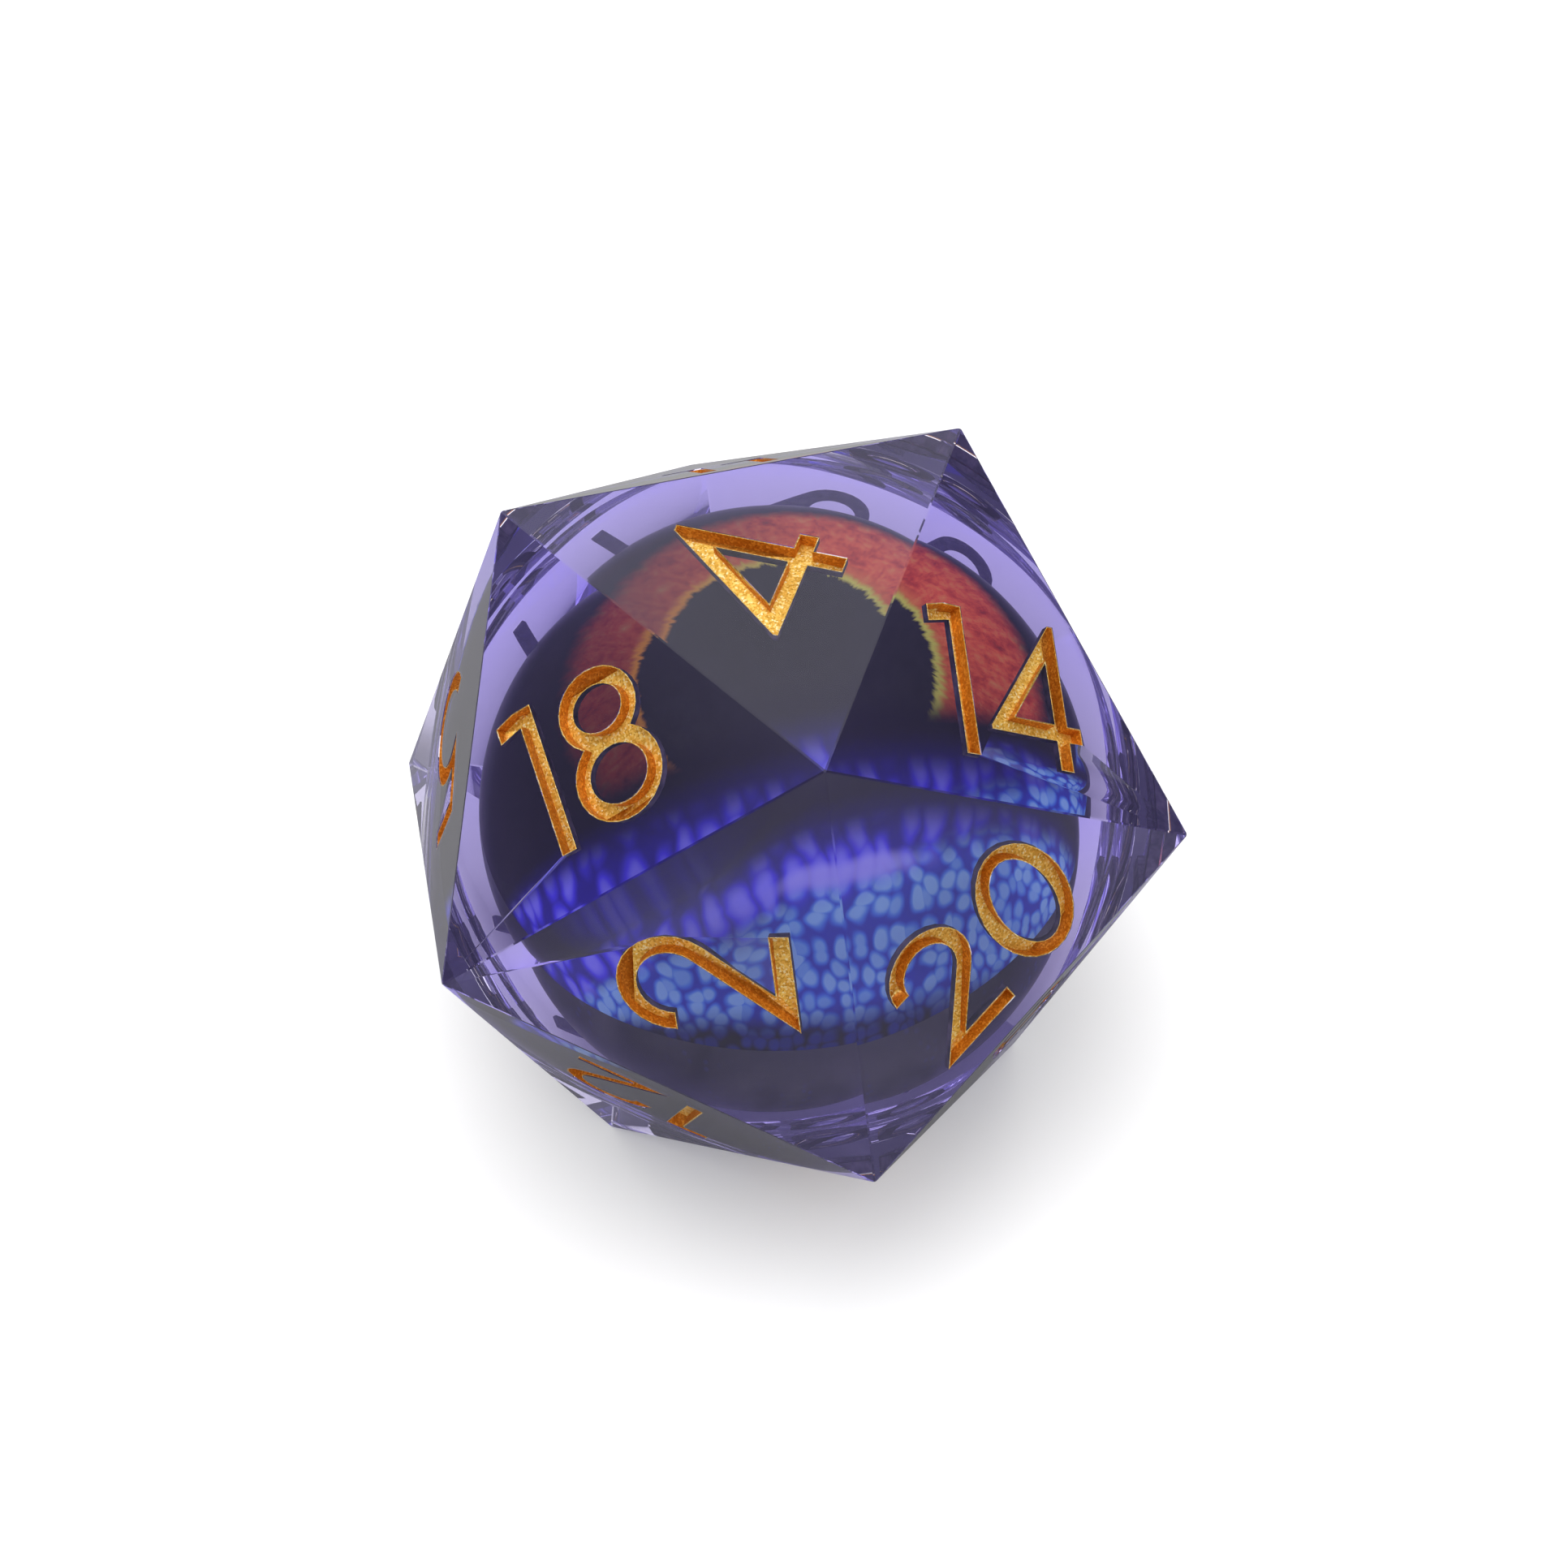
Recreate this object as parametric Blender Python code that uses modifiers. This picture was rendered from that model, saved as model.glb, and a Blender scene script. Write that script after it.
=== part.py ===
"""Liquid core d20: a sharp-edged resin die cast around a clear ball, in which a weighted eye
floats in liquid and levels itself. Metres, +Z up, origin at the centre of the resting face.
The face numbered 4 is on top and one of its corners points to -Y."""

import math

import bmesh
import bpy
from mathutils import Matrix, Vector

MM = 0.001

# Driving dimensions
FACE_TO_FACE = 33.0 * MM        # across two opposite faces
BALL_OUTER = 15.0 * MM          # radius of the clear ball
BALL_WALL = 0.6 * MM
EYE_RADIUS = 12.5 * MM
EYE_DROP = 1.72 * MM            # the eye rests this far below the centre
GROOVE_DEPTH = 0.75 * MM        # engraved numerals
SINGLE_HEIGHT = 0.375           # numeral height on the faces 1 to 9, in edges
DOUBLE_HEIGHT = 0.335           # numeral height on the faces 10 to 20, in edges

# Clearances
SEAT_GAP = 0.05 * MM            # between cast or glued pieces
RUN_GAP = 0.18 * MM             # liquid to ball and liquid to eye, where facets turn past each other

EDGE = FACE_TO_FACE / 1.5115226
CENTRE = Vector((0.0, 0.0, FACE_TO_FACE / 2))
SPHERE_SEGMENTS = 28
ARC_SEGMENTS = 26               # segments in a full turn of a numeral's arc

# The pour plane passes close to the centre, its normal points into the second pour
POUR_POLAR = math.radians(66.0)
POUR_AZIMUTH = math.radians(77.0)
POUR_OFFSET = -0.024 * EDGE

PLUG_RADIUS = 1.5 * MM
EYE_SHELL = 0.8 * MM            # wall of the eye's two halves
LIP_HEIGHT = 1.2 * MM           # spigot of the hull inside the cap
BALLAST_TOP = -6.5 * MM         # height of the weight's flat top above the eye's centre

# Corners of the die by level and azimuth: radius and height above the centre, in edges
LEVELS = {"T": (0.57735, 0.75576), "U": (0.93417, 0.17841),
          "L": (0.93417, -0.17841), "B": (0.57735, -0.75576)}

# Each face: its corners, with the one that the numeral's top points to first.
# Opposite faces add up to 21.
FACES = {
    1: "B90 L150 U90", 2: "U210 L270 T270", 3: "B330 L30 B90", 4: "T150 T30 T270",
    5: "U210 T150 L150", 6: "T30 U330 L30", 7: "B210 L150 B90", 8: "B330 L270 U330",
    9: "T30 L30 U90", 10: "L270 B330 B210", 11: "U90 T150 T30", 12: "B210 U210 L270",
    13: "T150 U90 L150", 14: "T30 U330 T270", 15: "B210 L150 U210", 16: "L30 U330 B330",
    17: "B330 B210 B90", 18: "T150 U210 T270", 19: "L30 U90 B90", 20: "T270 U330 L270",
}

# Numerals, in units of their own height
STROKE = 0.118
DIGIT_GAP = 0.12
SINGLE_SHIFT = 0.0              # numeral's middle above the face's centre, in edges
DOUBLE_SHIFT = -0.015
# Numerals that stand off their face's middle by more: to the right and up, in edges
OFFSETS = {2: (0.0, 0.014), 4: (-0.040, 0.020), 14: (0.026, -0.010), 18: (-0.004, 0.008),
           20: (0.008, -0.046)}
INLAY_THICKNESS = 0.25 * MM     # dried paint on the groove's floor
INLAY_GAP = 0.04 * MM
CUTTER_PROUD = 0.4 * MM         # how far a numeral's cutter stands above the face

COLOURS = {
    "cast_resin": ((0.20, 0.14, 0.42), 0.05, 0.0),
    "clear_acrylic": ((0.85, 0.86, 0.92), 0.03, 0.0),
    "clear_liquid": ((0.75, 0.74, 0.90), 0.02, 0.0),
    "printed_cap": ((0.45, 0.10, 0.08), 0.30, 0.0),
    "dark_hull": ((0.03, 0.03, 0.06), 0.40, 0.0),
    "steel_weight": ((0.45, 0.45, 0.47), 0.35, 1.0),
    "gold_paint": ((0.78, 0.48, 0.12), 0.45, 0.8),
}


def clear_scene():
    for item in list(bpy.data.objects):
        bpy.data.objects.remove(item, do_unlink=True)


def new_collection(name):
    collection = bpy.data.collections.new(name)
    bpy.context.scene.collection.children.link(collection)
    return collection


def new_material(name):
    colour, roughness, metallic = COLOURS[name]
    material = bpy.data.materials.new(name)
    material.use_nodes = True
    shader = material.node_tree.nodes["Principled BSDF"]
    shader.inputs["Base Color"].default_value = (*colour, 1.0)
    shader.inputs["Roughness"].default_value = roughness
    shader.inputs["Metallic"].default_value = metallic
    material.diffuse_color = (*colour, 1.0)
    return material


def add_object(name, data, collection, material=None, location=(0.0, 0.0, 0.0)):
    item = bpy.data.objects.new(name, data)
    item.location = location
    if material:
        data.materials.append(material)
    collection.objects.link(item)
    return item


def mesh_from_bmesh(name, shape):
    mesh = bpy.data.meshes.new(name)
    shape.to_mesh(mesh)
    shape.free()
    return mesh


def as_cutter(item):
    item.hide_render = True
    item.display_type = "WIRE"


def add_boolean(item, cutter, operation):
    modifier = item.modifiers.new(cutter.name, "BOOLEAN")
    modifier.object = cutter
    modifier.operation = operation
    modifier.solver = "EXACT"


# The icosahedron and its faces

def die_blank():
    """An icosahedron around the origin with a face on top and one of its corners towards -Y."""
    shape = bmesh.new()
    bmesh.ops.create_icosphere(shape, subdivisions=1, radius=EDGE * math.sin(math.radians(72)))
    top = max(shape.faces, key=lambda face: face.normal.z)
    level = top.normal.rotation_difference(Vector((0, 0, 1))).to_matrix()
    bmesh.ops.rotate(shape, verts=shape.verts, cent=(0, 0, 0), matrix=level)
    top = max(shape.faces, key=lambda face: face.normal.z)
    corner = top.verts[0].co
    turn = -math.pi / 2 - math.atan2(corner.y, corner.x)
    bmesh.ops.rotate(shape, verts=shape.verts, cent=(0, 0, 0), matrix=Matrix.Rotation(turn, 3, "Z"))
    bmesh.ops.translate(shape, verts=shape.verts, vec=CENTRE)
    return mesh_from_bmesh("die_blank", shape)


def corner_point(name):
    radius, height = LEVELS[name[0]]
    azimuth = math.radians(float(name[1:]))
    return CENTRE + EDGE * Vector((radius * math.cos(azimuth), radius * math.sin(azimuth), height))


def face_frame(number):
    """Matrix with X and Y along the face, Y towards the numeral's top, and Z out of the die."""
    corners = [corner_point(name) for name in FACES[number].split()]
    middle = sum(corners, Vector()) / 3
    up = (corners[0] - middle).normalized()
    out = (middle - CENTRE).normalized()
    right = up.cross(out)
    frame = Matrix((right, up, out)).transposed().to_4x4()
    frame.translation = middle
    return frame


# Numeral outlines: the first loop is the outer one, the others are holes

def arc(x, y, radius_x, radius_y, start, end):
    count = max(2, round(ARC_SEGMENTS * abs(end - start) / 360))
    angles = [math.radians(start + (end - start) * step / count) for step in range(count + 1)]
    return [(x + radius_x * math.cos(angle), y + radius_y * math.sin(angle)) for angle in angles]


def ring(x, y, radius_x, radius_y):
    return arc(x, y, radius_x, radius_y, 0, 360)[:-1]


def digit_0():
    wide = 0.31
    return [ring(0, 0.5, wide, 0.5), ring(0, 0.5, wide - STROKE, 0.5 - STROKE)]


def digit_1():
    right, flag = 0.145, 0.035
    left = right - STROKE
    return [[(left, 0), (right, 0), (right, 1), (0, 1), (-right, 1 - flag),
             (-right, 1 - flag - STROKE), (left, 1 - STROKE)]]


def digit_2():
    outer, tip = 0.31, -0.335
    inner, middle = outer - STROKE, 1 - outer
    reach = math.hypot(tip, middle)
    slope = math.atan2(middle, -tip) - math.asin(inner / reach)
    touch = math.degrees(slope) - 90
    leave = outer * math.cos(math.radians(touch)), middle + outer * math.sin(math.radians(touch))
    base = leave[0] - (leave[1] - STROKE) / math.tan(slope)
    return [arc(0, middle, outer, outer, 180, touch) + [(base, STROKE), (0.30, STROKE), (0.30, 0), (tip, 0)]
            + arc(0, middle, inner, inner, touch, 180)]


def digit_3():
    low, high, cut = 0.30, 0.26, 155
    top = 1 - high
    meet = math.degrees(math.asin((2 * low - STROKE / 2 - top) / high))
    join = math.degrees(math.asin((2 * low - STROKE / 2 - low) / low))
    return [arc(0, top, high, high, cut, meet) + arc(0, low, low, low, join, -cut)
            + arc(0, low, low - STROKE, low - STROKE, -cut, 90)
            + [(-0.08, 2 * low - STROKE), (-0.08, 2 * low)]
            + arc(0, top, high - STROKE, high - STROKE, -90, cut)]


def digit_4():
    left, right, apex, tip = -0.3875, 0.3875, 0.05, 0.03
    stem = 0.275
    low = 0.197
    high = low + STROKE
    rise = (1 - low - tip) / (stem - apex - left)
    lean = math.atan(rise)
    inner_x = left + STROKE * math.sin(lean)
    inner_y = low + tip - STROKE * math.cos(lean)
    inside = stem - STROKE
    return [[(left, low), (inside, low), (inside, 0), (stem, 0), (stem, low), (right, low),
             (right, high), (stem, high), (stem, 1), (stem - apex, 1), (left, low + tip)],
            [(inner_x + (high - inner_y) / rise, high), (inside, high),
             (inside, inner_y + (inside - inner_x) * rise)]]


def digit_5():
    bowl, x, bar = 0.345, 0.01, 0.32
    start, end = 103, -152
    inner = bowl - STROKE
    return [[(-0.13, 1), (bar, 1), (bar, 1 - STROKE), (-0.03, 1 - STROKE)]
            + arc(x, bowl, bowl, bowl, start, end) + arc(x, bowl, inner, inner, end, 122)
            + [(-0.205, 0.50)]]


def digit_6():
    bowl, touch = 0.31, 150.0
    inner = bowl - STROKE
    lean = math.radians(touch - 90)
    out = Vector((math.cos(math.radians(touch)), math.sin(math.radians(touch))))
    along = Vector((math.cos(lean), math.sin(lean)))
    middle = Vector((0, bowl))
    outside = middle + out * bowl
    inside = middle + out * inner
    leave = inside + along * math.sqrt(bowl ** 2 - inner ** 2)
    start = math.degrees(math.atan2(leave.y - bowl, leave.x))
    tail_left = outside + along * (1 - outside.y) / math.sin(lean)
    tail_right = inside + along * (1 - inside.y) / math.sin(lean)
    return [arc(0, bowl, bowl, bowl, start, touch - 360) + [tuple(tail_left), tuple(tail_right)],
            ring(0, bowl, inner, inner)]


def digit_7():
    right, foot = 0.30, -0.19
    width = STROKE / math.sin(math.atan2(1 - STROKE, right - foot))
    return [[(-right, 1), (right, 1), (foot + width, 0), (foot, 0),
             (foot + (right - width - foot) * (1 - STROKE), 1 - STROKE), (-right, 1 - STROKE)]]


def digit_8():
    wide_low, wide_high, low, high = 0.325, 0.295, 0.297, 0.262
    top = 1 - high
    below, above = top - high, 2 * low
    for _ in range(30):
        waist = (below + above) / 2
        upper = wide_high * math.sqrt(max(0, 1 - ((waist - top) / high) ** 2))
        lower = wide_low * math.sqrt(max(0, 1 - ((waist - low) / low) ** 2))
        if upper < lower:
            below = waist
        else:
            above = waist
    meet = math.degrees(math.asin((waist - top) / high))
    join = math.degrees(math.asin((waist - low) / low))
    return [arc(0, top, wide_high, high, meet, 180 - meet)
            + arc(0, low, wide_low, low, 180 - join, 360 + join)[1:-1],
            ring(0, top, wide_high - STROKE, high - STROKE),
            ring(0, low, wide_low - STROKE, low - STROKE)]


def digit_9():
    return [[(-x, 1 - y) for x, y in loop] for loop in digit_6()]


def dot():
    return [ring(0, 0.085, 0.085, 0.085)]


DIGITS = {"0": digit_0, "1": digit_1, "2": digit_2, "3": digit_3, "4": digit_4, "5": digit_5,
          "6": digit_6, "7": digit_7, "8": digit_8, "9": digit_9, ".": dot}


def numeral_layout(number):
    """Each character of a face's numeral as (suffix, loops), in metres on the face's plane."""
    text = f"{number}." if number in (6, 9) else str(number)
    double = number > 9
    height = EDGE * (DOUBLE_HEIGHT if double else SINGLE_HEIGHT)
    shift = EDGE * (DOUBLE_SHIFT if double else SINGLE_SHIFT)
    names = ("tens", "units") if double else ("units", "dot")
    glyphs = [DIGITS[character]() for character in text]
    spans = [(min(x for x, _ in glyph[0]), max(x for x, _ in glyph[0])) for glyph in glyphs]
    body = spans[:2] if double else spans[:1]
    total = sum(high - low for low, high in body) + DIGIT_GAP * (len(body) - 1)
    aside, above = OFFSETS.get(number, (0.0, 0.0))
    shift += above * EDGE
    cursor = -total / 2 + aside * EDGE / height
    placed = []
    for name, glyph, (low, high) in zip(names, glyphs, spans):
        move = cursor - low
        placed.append((name, [[((x + move) * height, (y - 0.5) * height + shift) for x, y in loop]
                              for loop in glyph]))
        cursor += high - low + DIGIT_GAP
    return placed


def inset_loop(loop, distance):
    """Moves a closed loop inwards by a distance, or outwards when it is negative."""
    count = len(loop)
    area = sum(loop[i][0] * loop[(i + 1) % count][1] - loop[(i + 1) % count][0] * loop[i][1]
               for i in range(count))
    side = distance if area > 0 else -distance
    moved = []
    for i, here in enumerate(loop):
        before = (Vector(here) - Vector(loop[i - 1])).normalized()
        after = (Vector(loop[(i + 1) % count]) - Vector(here)).normalized()
        normal_before = Vector((-before.y, before.x))
        normal_after = Vector((-after.y, after.x))
        bisector = (normal_before + normal_after) / (1 + normal_before.dot(normal_after))
        moved.append(tuple(Vector(here) + bisector * side))
    return moved


def flat_solid(name, loops, low, high, frame):
    """A flat outline filled and extruded between two heights above a face."""
    curve = bpy.data.curves.new(name, "CURVE")
    curve.dimensions = "2D"
    curve.fill_mode = "BOTH"
    curve.extrude = (high - low) / 2
    for loop in loops:
        spline = curve.splines.new("POLY")
        spline.points.add(len(loop) - 1)
        for point, (x, y) in zip(spline.points, loop):
            point.co = (x, y, 0, 1)
        spline.use_cyclic_u = True
    outline = bpy.data.objects.new(name, curve)
    bpy.context.scene.collection.objects.link(outline)
    bpy.context.view_layer.update()
    evaluated = outline.evaluated_get(bpy.context.evaluated_depsgraph_get())
    shape = bmesh.new()
    shape.from_mesh(bpy.data.meshes.new_from_object(evaluated))
    bpy.data.objects.remove(outline)
    bmesh.ops.remove_doubles(shape, verts=shape.verts, dist=0.001 * MM)
    place = frame @ Matrix.Translation((0, 0, (low + high) / 2))
    bmesh.ops.transform(shape, matrix=place, verts=shape.verts)
    bmesh.ops.recalc_face_normals(shape, faces=shape.faces)
    return shape


def numerals(parts, cutters, paint):
    """The paint in every digit, and one cutter for all the engraved grooves."""
    grooves = bmesh.new()
    for number in FACES:
        frame = face_frame(number)
        for suffix, loops in numeral_layout(number):
            cut = flat_solid("groove", loops, -GROOVE_DEPTH, CUTTER_PROUD, frame)
            grooves.from_mesh(mesh_from_bmesh("groove", cut))
            inset = [inset_loop(loops[0], INLAY_GAP)] + [inset_loop(hole, -INLAY_GAP) for hole in loops[1:]]
            floor = -GROOVE_DEPTH + INLAY_GAP
            name = f"paint_{number:02d}_{suffix}"
            inlay = flat_solid(name, inset, floor, floor + INLAY_THICKNESS, frame)
            add_object(name, mesh_from_bmesh(name, inlay), parts, paint)
    cutter = add_object("numeral_grooves", mesh_from_bmesh("numeral_grooves", grooves), cutters)
    as_cutter(cutter)
    return cutter


# Turned pieces: profiles of (radius, height), outer side from top to bottom

def sphere_point(radius, polar, centre=0.0):
    return radius * math.sin(polar), centre + radius * math.cos(polar)


def sphere_arc(radius, start, end, count):
    """Profile points along a sphere between two angles from the top, in degrees."""
    return [sphere_point(radius, math.radians(start + (end - start) * step / count))
            for step in range(count + 1)]


def pierced_arc(radius, hole, count):
    """The lower quarter of a sphere's profile, ending on its last facet at a hole's edge."""
    points = sphere_arc(radius, 90, 180, count)
    (x, z), (_, pole) = points[-2:]
    return points[:-1] + [(hole, z + (pole - z) * (1 - hole / x))]


def turned(name, profile, closed, collection, material=None, location=CENTRE):
    shape = bmesh.new()
    points = [shape.verts.new((max(0.0, x), 0, z)) for x, z in profile]
    pairs = zip(points, points[1:] + points[:1] if closed else points[1:])
    for first, second in pairs:
        shape.edges.new((first, second))
    item = add_object(name, mesh_from_bmesh(name, shape), collection, material, location)
    screw = item.modifiers.new("Screw", "SCREW")
    screw.steps = screw.render_steps = SPHERE_SEGMENTS
    screw.use_merge_vertices = True
    screw.merge_threshold = 0.00001
    return item


# The cast resin

def pour_box(name, side, cutters):
    """A box on one side of the pour plane, half a gap away from it."""
    size = 3 * FACE_TO_FACE
    normal = Vector((math.sin(POUR_POLAR) * math.cos(POUR_AZIMUTH),
                     math.sin(POUR_POLAR) * math.sin(POUR_AZIMUTH), math.cos(POUR_POLAR)))
    shape = bmesh.new()
    bmesh.ops.create_cube(shape, size=size)
    box = add_object(name, mesh_from_bmesh(name, shape), cutters)
    box.rotation_mode = "QUATERNION"
    box.rotation_quaternion = normal.to_track_quat("Z", "Y")
    box.location = CENTRE + normal * (POUR_OFFSET + side * (size / 2 + SEAT_GAP / 2))
    as_cutter(box)
    return box


def resin_pours(parts, cutters, grooves):
    profile = sphere_arc(BALL_OUTER + SEAT_GAP, 0, 180, SPHERE_SEGMENTS // 2)
    seat = turned("ball_seat", profile, False, cutters)
    as_cutter(seat)
    material = new_material("cast_resin")
    for name, side in (("resin_first_pour", -1), ("resin_second_pour", 1)):
        pour = add_object(name, die_blank(), parts, material)
        add_boolean(pour, seat, "DIFFERENCE")
        add_boolean(pour, grooves, "DIFFERENCE")
        add_boolean(pour, pour_box(f"{name}_side", side, cutters), "INTERSECT")


def clear_ball(parts):
    material = new_material("clear_acrylic")
    inner = BALL_OUTER - BALL_WALL
    quarter = SPHERE_SEGMENTS // 4
    upper = sphere_arc(BALL_OUTER, 0, 90, quarter) + sphere_arc(inner, 90, 0, quarter)
    upper = [(x, z + SEAT_GAP / 2) for x, z in upper]
    turned("ball_upper", upper, False, parts, material)
    hole = PLUG_RADIUS + SEAT_GAP
    lower = pierced_arc(BALL_OUTER, hole, quarter) + pierced_arc(inner, hole, quarter)[::-1]
    lower = [(x, z - SEAT_GAP / 2) for x, z in lower]
    turned("ball_lower", lower, True, parts, material)
    top, bottom = lower[quarter + 1][1], lower[quarter][1]
    plug = [(0, top), (PLUG_RADIUS, top), (PLUG_RADIUS, bottom), (0, bottom)]
    turned("fill_plug", plug, False, parts, material)


def liquid(parts):
    """The liquid around the eye, open below where the eye rests on the ball."""
    outer = BALL_OUTER - BALL_WALL - RUN_GAP
    around = EYE_RADIUS + RUN_GAP
    last, count = 125, 10
    profile = sphere_arc(outer, 0, last, count)
    for step in range(count, -1, -1):
        polar = math.radians(last * step / count)
        reach = -EYE_DROP * math.cos(polar) + math.sqrt(around ** 2 - (EYE_DROP * math.sin(polar)) ** 2)
        profile.append(sphere_point(reach, polar))
    turned("liquid_fill", profile, False, parts, new_material("clear_liquid"))


def eye_ball(parts):
    centre = CENTRE - Vector((0, 0, EYE_DROP))
    inner = EYE_RADIUS - EYE_SHELL
    quarter = SPHERE_SEGMENTS // 4
    cap = sphere_arc(EYE_RADIUS, 0, 90, quarter) + sphere_arc(inner, 90, 0, quarter)
    cap = [(x, z + SEAT_GAP / 2) for x, z in cap]
    turned("eye_cap", cap, False, parts, new_material("printed_cap"), centre)

    lip_outer = math.sqrt(inner ** 2 - LIP_HEIGHT ** 2) - 3 * SEAT_GAP
    lip_inner = lip_outer - EYE_SHELL
    lip_start = 180 - math.degrees(math.asin(lip_inner / inner))
    hull = sphere_arc(inner, 180, lip_start, quarter)
    hull += [(lip_inner, LIP_HEIGHT), (lip_outer, LIP_HEIGHT), (lip_outer, -SEAT_GAP / 2)]
    hull += [(x, z - SEAT_GAP / 2) for x, z in sphere_arc(EYE_RADIUS, 90, 180, quarter)]
    turned("eye_hull", hull, False, parts, new_material("dark_hull"), centre)

    weight = inner - 2 * SEAT_GAP
    rim = math.degrees(math.acos(BALLAST_TOP / weight))
    ballast = [(0, BALLAST_TOP)] + sphere_arc(weight, rim, 180, quarter)
    turned("eye_ballast", ballast, False, parts, new_material("steel_weight"), centre)


def main():
    clear_scene()
    parts = new_collection("moving_eye_d20")
    cutters = new_collection("cutters")
    grooves = numerals(parts, cutters, new_material("gold_paint"))
    resin_pours(parts, cutters, grooves)
    clear_ball(parts)
    liquid(parts)
    eye_ball(parts)


main()
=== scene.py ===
import math

import bpy
from mathutils import Matrix, Vector


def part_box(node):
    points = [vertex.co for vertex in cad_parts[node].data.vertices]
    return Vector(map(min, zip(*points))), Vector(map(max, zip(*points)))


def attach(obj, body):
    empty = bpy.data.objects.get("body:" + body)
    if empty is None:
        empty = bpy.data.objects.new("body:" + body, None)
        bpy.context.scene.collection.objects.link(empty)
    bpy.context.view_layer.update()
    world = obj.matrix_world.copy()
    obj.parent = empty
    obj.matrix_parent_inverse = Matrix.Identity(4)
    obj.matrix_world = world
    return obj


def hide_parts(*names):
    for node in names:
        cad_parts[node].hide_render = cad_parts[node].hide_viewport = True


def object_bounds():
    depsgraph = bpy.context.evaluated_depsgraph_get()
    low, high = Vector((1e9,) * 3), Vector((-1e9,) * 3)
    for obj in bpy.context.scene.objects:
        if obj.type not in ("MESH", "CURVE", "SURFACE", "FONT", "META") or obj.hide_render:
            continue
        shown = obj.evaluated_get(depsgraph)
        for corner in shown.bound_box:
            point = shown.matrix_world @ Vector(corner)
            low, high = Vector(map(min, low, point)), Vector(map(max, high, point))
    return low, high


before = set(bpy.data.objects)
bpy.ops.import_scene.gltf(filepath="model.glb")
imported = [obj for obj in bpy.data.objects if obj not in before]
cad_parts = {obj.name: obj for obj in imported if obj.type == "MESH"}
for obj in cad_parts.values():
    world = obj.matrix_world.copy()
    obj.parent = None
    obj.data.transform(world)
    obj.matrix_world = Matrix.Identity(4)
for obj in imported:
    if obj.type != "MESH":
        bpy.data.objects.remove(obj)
cadLow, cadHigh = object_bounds()

mm = 0.001
edge = (cadHigh.z - cadLow.z) / 1.5115226     # an icosahedron's height over its edge
centre = Vector((0, 0, (cadLow.z + cadHigh.z) / 2))


def deselectAll():
    if bpy.context.mode != "OBJECT":
        bpy.ops.object.mode_set(mode="OBJECT")
    bpy.ops.object.select_all(action="DESELECT")


def activate(piece):
    deselectAll()
    piece.select_set(True)
    bpy.context.view_layer.objects.active = piece


def selectFaces(piece, wanted):
    # leaves edit mode with exactly the wanted faces selected
    activate(piece)
    bpy.ops.object.mode_set(mode="EDIT")
    bpy.ops.mesh.select_mode(type="FACE")
    bpy.ops.mesh.select_all(action="DESELECT")
    bpy.ops.object.mode_set(mode="OBJECT")
    for face in piece.data.polygons:
        face.select = wanted(face)
    bpy.ops.object.mode_set(mode="EDIT")


def applyModifiers(piece):
    activate(piece)
    for modifier in list(piece.modifiers):
        bpy.ops.object.modifier_apply(modifier=modifier.name)


def applyPlace(piece):
    activate(piece)
    bpy.ops.object.transform_apply(location=True, rotation=True, scale=True)


def addSphere(radius, segments, place):
    deselectAll()
    bpy.ops.mesh.primitive_uv_sphere_add(segments=segments, ring_count=segments // 2, radius=radius,
                                         location=place)
    sphere = bpy.context.object
    applyPlace(sphere)
    return sphere


def addModifier(piece, kind, **settings):
    modifier = piece.modifiers.new(kind.title(), kind)
    for name, value in settings.items():
        setattr(modifier, name, value)
    return modifier


def linear(code):
    # sRGB hex to the linear colour that a shader takes
    channels = [int(code[i:i + 2], 16) / 255 for i in (1, 3, 5)]
    return tuple(c / 12.92 if c <= 0.04045 else ((c + 0.055) / 1.055) ** 2.4 for c in channels) + (1.0,)


def newMaterial(name):
    material = bpy.data.materials.new(name)
    material.use_nodes = True
    return material, material.node_tree, material.node_tree.nodes["Principled BSDF"]


def feed(socket, part):
    # part is a node, whose first output in use is taken, or a socket, a number or a colour code
    if isinstance(part, bpy.types.Node):
        part = next(output for output in part.outputs if output.enabled)
    if isinstance(part, bpy.types.NodeSocket):
        socket.id_data.links.new(part, socket)
    else:
        socket.default_value = linear(part) if isinstance(part, str) else part


def addNode(tree, kind, *parts, named=None, stops=(), **settings):
    # parts feed the node's inputs in use, in their order, and named ones by name; stops are a ramp's
    node = tree.nodes.new("ShaderNode" + kind)
    for name, value in settings.items():
        setattr(node, name, value)
    for socket, part in zip([socket for socket in node.inputs if socket.enabled], parts):
        feed(socket, part)
    for name, part in (named or {}).items():
        feed(node.inputs[name], part)
    while stops and len(node.color_ramp.elements) < len(stops):
        node.color_ramp.elements.new(0.5)
    for stop, (position, code) in enumerate(stops):
        node.color_ramp.elements[stop].position = position
        node.color_ramp.elements[stop].color = linear(code)
    return node


def clearMaterial(name, index):
    material, _, shader = newMaterial(name)
    shader.inputs["Base Color"].default_value = linear("#ffffff")
    shader.inputs["Transmission Weight"].default_value = 1.0
    shader.inputs["IOR"].default_value = index
    shader.inputs["Roughness"].default_value = 0.0
    return material


def clearSkin(name, code):
    # a skin with the same index on both sides: it can't be seen, apart from the faint tint
    material, tree, shader = newMaterial(name)
    tree.nodes.remove(shader)
    clear = addNode(tree, "BsdfTransparent", code)
    feed(tree.nodes["Material Output"].inputs["Surface"], clear.outputs[0])
    return material


# Camera, floor and light

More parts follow.
